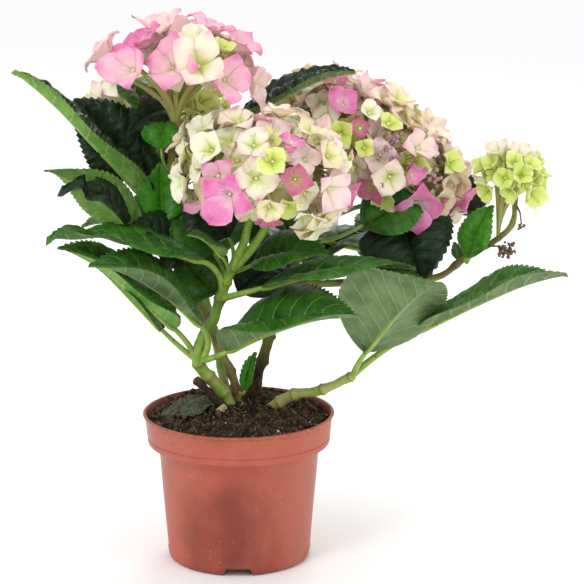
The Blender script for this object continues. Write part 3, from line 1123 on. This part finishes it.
def makePetals(floret, slot):
    luck = random.Random(floret["luck"])
    f = petalForm
    form = slab(f["columns"], f["rows"])
    v, s, level = form["co"].T
    out = floret["out"]
    east = unit(np.cross((0.0, 0.0, 1.0) if abs(out[2]) < 0.95 else (0.0, 1.0, 0.0), out))
    north = np.cross(out, east)
    w = f["widest"]
    outline = np.where(s < w, np.sin(np.pi / 2 * (0.12 + 0.88 * s / w)) ** 0.85,
                       1 - np.clip((s - w) / (1 - w), 0, 1) ** f["point"])
    parts = []
    for k in range(4):
        length = floret["radius"] * luck.uniform(*f["lengths"])
        half = length * luck.uniform(*f["widths"]) * np.maximum(outline, 0.04)
        turn = math.radians(floret["spin"] + 90 * k + luck.uniform(*f["turns"]))
        away = east * math.cos(turn) + north * math.sin(turn)
        side = np.cross(out, away)
        cup = floret["cup"] + luck.uniform(*f["cups"])
        reflex = luck.uniform(*f["reflexes"])
        crease = luck.uniform(*f["creases"])
        rise = length * ((cup + 0.3) * s - reflex * s**2.4) + crease * half * np.abs(v) ** 1.5
        rise += f["ripple"] * length * np.sin(v * 3 + s * 6 + luck.uniform(0, 6)) * s
        rise += (f["lap"] if k % 2 else 0.0) + (level - 0.5) * f["thick"]
        reach = length * (f["heart"] + (1 - f["heart"]) * s) * (1 - f["drawnIn"] * max(cup, 0) * s)
        co = floret["at"] + away * reach[:, None] + side * (v * half)[:, None] + out * rise[:, None]
        slots, maps = mapSlab(form, (v + 1) / 2, s, slot, slot, "petalMap")
        parts.append({**form, "co": co * mm, "slots": slots, "maps": maps})
    return parts


def makeHead(name, beads, buds, stalks):
    head = heads[name]
    florets = spreadFlorets(head)
    parts = []
    ball = ballForm(8, 6)
    hub = np.array(head["hub"], float)
    rays = []
    for i in range(spreadForm["rays"]):
        height = 0.95 - i / spreadForm["rays"]
        turn = i * 2.4
        level = math.sqrt(1 - height * height)
        direction = np.array((level * math.cos(turn), level * math.sin(turn), height))
        spot, _ = onHead(head, direction, share=head["rayReach"])
        rays.append(spot)
        t = np.linspace(0, 1, 7)
        lift = hub + np.array((0, 0, 0.45 * np.linalg.norm(spot - hub)))
        points, _ = bezier(hub, lift, spot, t)
        stalks.append(tube(points * mm, head["width"] * (1 - 0.42 * t) * mm, 10))
    for floret in florets:
        parts += makePetals(floret, petalNames.index(floret["look"]))
        size = (1.1 + 0.35 * floret["luck"]) * min(1.0, head["radius"] / 12)
        centre = floret["at"] + floret["out"] * 0.9 * size
        beads.append({**ball, "co": (ball["co"] * size + centre) * mm})
        ray = min(rays, key=lambda spot: np.linalg.norm(spot - floret["at"]))
        neck = floret["at"] - floret["out"] * 0.4 * np.linalg.norm(ray - floret["at"])
        t = np.linspace(0, 1, 5)
        points, _ = bezier(ray, neck, floret["at"] + floret["out"] * 0.2, t)
        stalks.append(tube(points * mm, (0.45 * head["width"] ** 0.7 - 0.12 * t) * mm, 5))
    luck = random.Random(head["seed"] + 1)
    spread = spreadForm["budSpread"]
    for turn, rise in head.get("buds", []):
        for _ in range(spreadForm["budsEach"]):
            direction = towards(turn + luck.uniform(-spread, spread), rise + luck.uniform(-spread, spread))
            spot, out = onHead(head, direction, luck.uniform(3, 7))
            size = luck.uniform(1.0, 2.1)
            buds.append({**ball, "co": (ball["co"] * size + spot) * mm})
            stalks.append(tube([spot * mm, (spot - out * 9) * mm], [0.5 * mm] * 2, 5))
    settle(buildPiece(name, parts, [petalSkins[n] for n in petalNames], 70), "bloom", head["node"])


def beadSkin(name, dark, light, rough):
    return mottledSkin(name, dark, light, rough,
                       {"shine": 0.4, "patch": 500.0, "grain": 2200.0, "relief": 0.3, "depth": 0.1})


beads = []
buds = []
headStalks = []
for name in heads:
    makeHead(name, beads, buds, headStalks)
creamBead = beadSkin("creamBead", (196, 196, 124), (240, 232, 200), 0.4)
settle(buildPiece("floretBeads", beads, [creamBead], 180), "bloom")
mauveBud = beadSkin("mauveBud", (132, 104, 108), (190, 150, 150), 0.5)
settle(buildPiece("unopenedBuds", buds, [mauveBud], 180), "bloom")
stalkSkin = stemSkin("flowerStalkSkin", (158, 178, 84), (186, 168, 110), (160, 124, 84), 0.05, 0.45)
settle(buildPiece("flowerStalks", headStalks, [stalkSkin], 80), "stem")
print("flower heads made")


# What has withered: a crumpled leaf and a cut stub on the soil, dry florets under the far right head

witheredForm = {
    "leafFoot": (-16, 0), "leafTip": (-52, -7), "leafWidth": 36, "crumple": 5,
    "stub": [(-17, -12, 102), (-13, -13.5, 106), (-9, -15, 109.5)], "stubRadius": 2.2,
    "dryAt": [((181, 15, 210), 7.5, 34), ((191, 16, 227), 3, 6)],  # middle, reach and count
    "dryStalks": [[(168, 22, 212), (176, 17, 213), (182, 15, 210)],
                  [(187, 19, 242), (190, 17, 236), (191, 16, 228)]],
}


def makeWithered():
    w = witheredForm
    form = slab(22, 30)
    v, s, level = form["co"].T
    foot = np.array(w["leafFoot"], float)
    chord = np.array(w["leafTip"], float) - foot
    side = np.array((-chord[1], chord[0])) / np.linalg.norm(chord)
    half = w["leafWidth"] / 2 * np.sin(np.pi * np.clip(s * 0.94 + 0.05, 0, 1)) ** 0.7
    half = half * (1 + 0.12 * np.sin(s * 23))
    flat = foot + chord * s[:, None] + side * (v * half)[:, None]
    co = np.zeros((len(s), 3))
    for i, (x, y) in enumerate(flat):
        folds = noise.fractal(Vector((x * 0.07, y * 0.12, 2.0)), 1.0, 2.0, 3)
        arch = math.sin(math.pi * min(1, s[i] + 0.1))
        lift = 1.2 + w["crumple"] * (0.35 + abs(folds)) * arch + 0.9 * level[i]
        co[i] = (x + 2.5 * folds, y + 1.5 * folds, soilTop(x, y) + lift)
    withered = beadSkin("witheredLeaf", (52, 44, 32), (96, 104, 72), 0.7)
    settle(buildPiece("witheredLeaf", [{**form, "co": co * mm}], [withered], 60), "leaf")
    stub = tube(np.array(w["stub"]) * mm, [w["stubRadius"] * mm] * 3, 14)
    cutWood = paleGrain("cutWood", (150, 142, 98), (206, 198, 150))
    settle(buildPiece("cutStub", [stub], [cutWood], 40), "woody_stem")
    bm = bmesh.new()
    bmesh.ops.create_icosphere(bm, subdivisions=2, radius=1)
    lump = toArrays(bm)
    dry = []
    for at, reach, count in w["dryAt"]:
        for _ in range(count):
            way = unit(np.array([dice.gauss(0, 1) for _ in range(3)]))
            spot = np.array(at) + way * reach * dice.random() ** 0.5
            dry.append(scatter(lump, spot, dice.uniform(0.8, 1.9)))
    dry += [tube(np.array(stalk) * mm, [0.8 * mm, 0.6 * mm, 0.5 * mm], 8) for stalk in w["dryStalks"]]
    dryBrown = beadSkin("dryBrown", (70, 52, 40), (140, 118, 92), 0.8)
    settle(buildPiece("dryFlorets", dry, [dryBrown], 60), "bloom")


makeWithered()


# Stage: pale floor, soft lights and the camera

stageForm = {
    "floor": 6.0, "backdrop": 1.0, "light": 0.88, "floorShade": 0.97, "floorGlow": 0.1,
    "glowFrom": 0.06, "glowFull": 0.2,
    "lights": {  # place, aim, size and power
        "keyLight": ((-0.8, -1.3, 1.6), (0, 0, 0.2), 0.7, 12),
        "fillLight": ((1.3, -0.9, 0.7), (0, 0, 0.2), 0.9, 4),
        "backLight": ((0.3, 1.3, 1.3), (0, 0, 0.25), 0.8, 8),
    },
}
cameraForm = {"at": (0.0362, -1.6814, 0.5873), "pitch": 13.45, "lens": 158.5, "sensor": 36}


def areaLight(name, at, aim, size, power):
    light = bpy.data.lights.new(name, "AREA")
    light.shape = "DISK"
    light.size = size
    light.energy = power
    lamp = bpy.data.objects.new(name, light)
    bpy.context.scene.collection.objects.link(lamp)
    lamp.location = at
    lamp.rotation_euler = (Vector(aim) - Vector(at)).to_track_quat("-Z", "Y").to_euler()


def makeStage():
    form = stageForm
    bm = bmesh.new()
    bmesh.ops.create_grid(bm, x_segments=1, y_segments=1, size=form["floor"])
    material, tree, surface = newMaterial("paleFloor", Roughness=0.8, Specular_IOR_Level=0.2)
    surface.inputs["Base Color"].default_value = (form["floorShade"],) * 3 + (1,)
    spot = put(tree, "TexCoord").outputs["Object"]
    away = put(tree, "VectorMath", {0: spot}, operation="LENGTH").outputs["Value"]
    glow = remap(tree, away, form["glowFrom"], form["glowFull"], 0, form["floorGlow"])
    tree.links.new(glow, surface.inputs["Emission Strength"])
    floor = fromBmesh("paleFloor", bm, [material])
    world = bpy.data.worlds.new("softWhite")
    bpy.context.scene.world = world
    world.use_nodes = True
    tree = world.node_tree
    background = tree.nodes["Background"]
    seen = put(tree, "LightPath").outputs["Is Camera Ray"]
    strength = calc(tree, "MULTIPLY_ADD", seen, form["backdrop"] - form["light"], form["light"])
    feed(tree, background, {"Color": (1, 1, 1, 1), "Strength": strength})
    for name, light in form["lights"].items():
        areaLight(name, *light)
    camera = bpy.data.objects.new("camera", bpy.data.cameras.new("camera"))
    bpy.context.scene.collection.objects.link(camera)
    camera.location = cameraForm["at"]
    camera.rotation_euler = (math.radians(90 - cameraForm["pitch"]), 0, 0)
    camera.data.lens = cameraForm["lens"]
    camera.data.sensor_width = cameraForm["sensor"]
    bpy.context.scene.camera = camera
    bpy.context.scene.view_settings.view_transform = "Standard"


makeStage()
print("stage made")
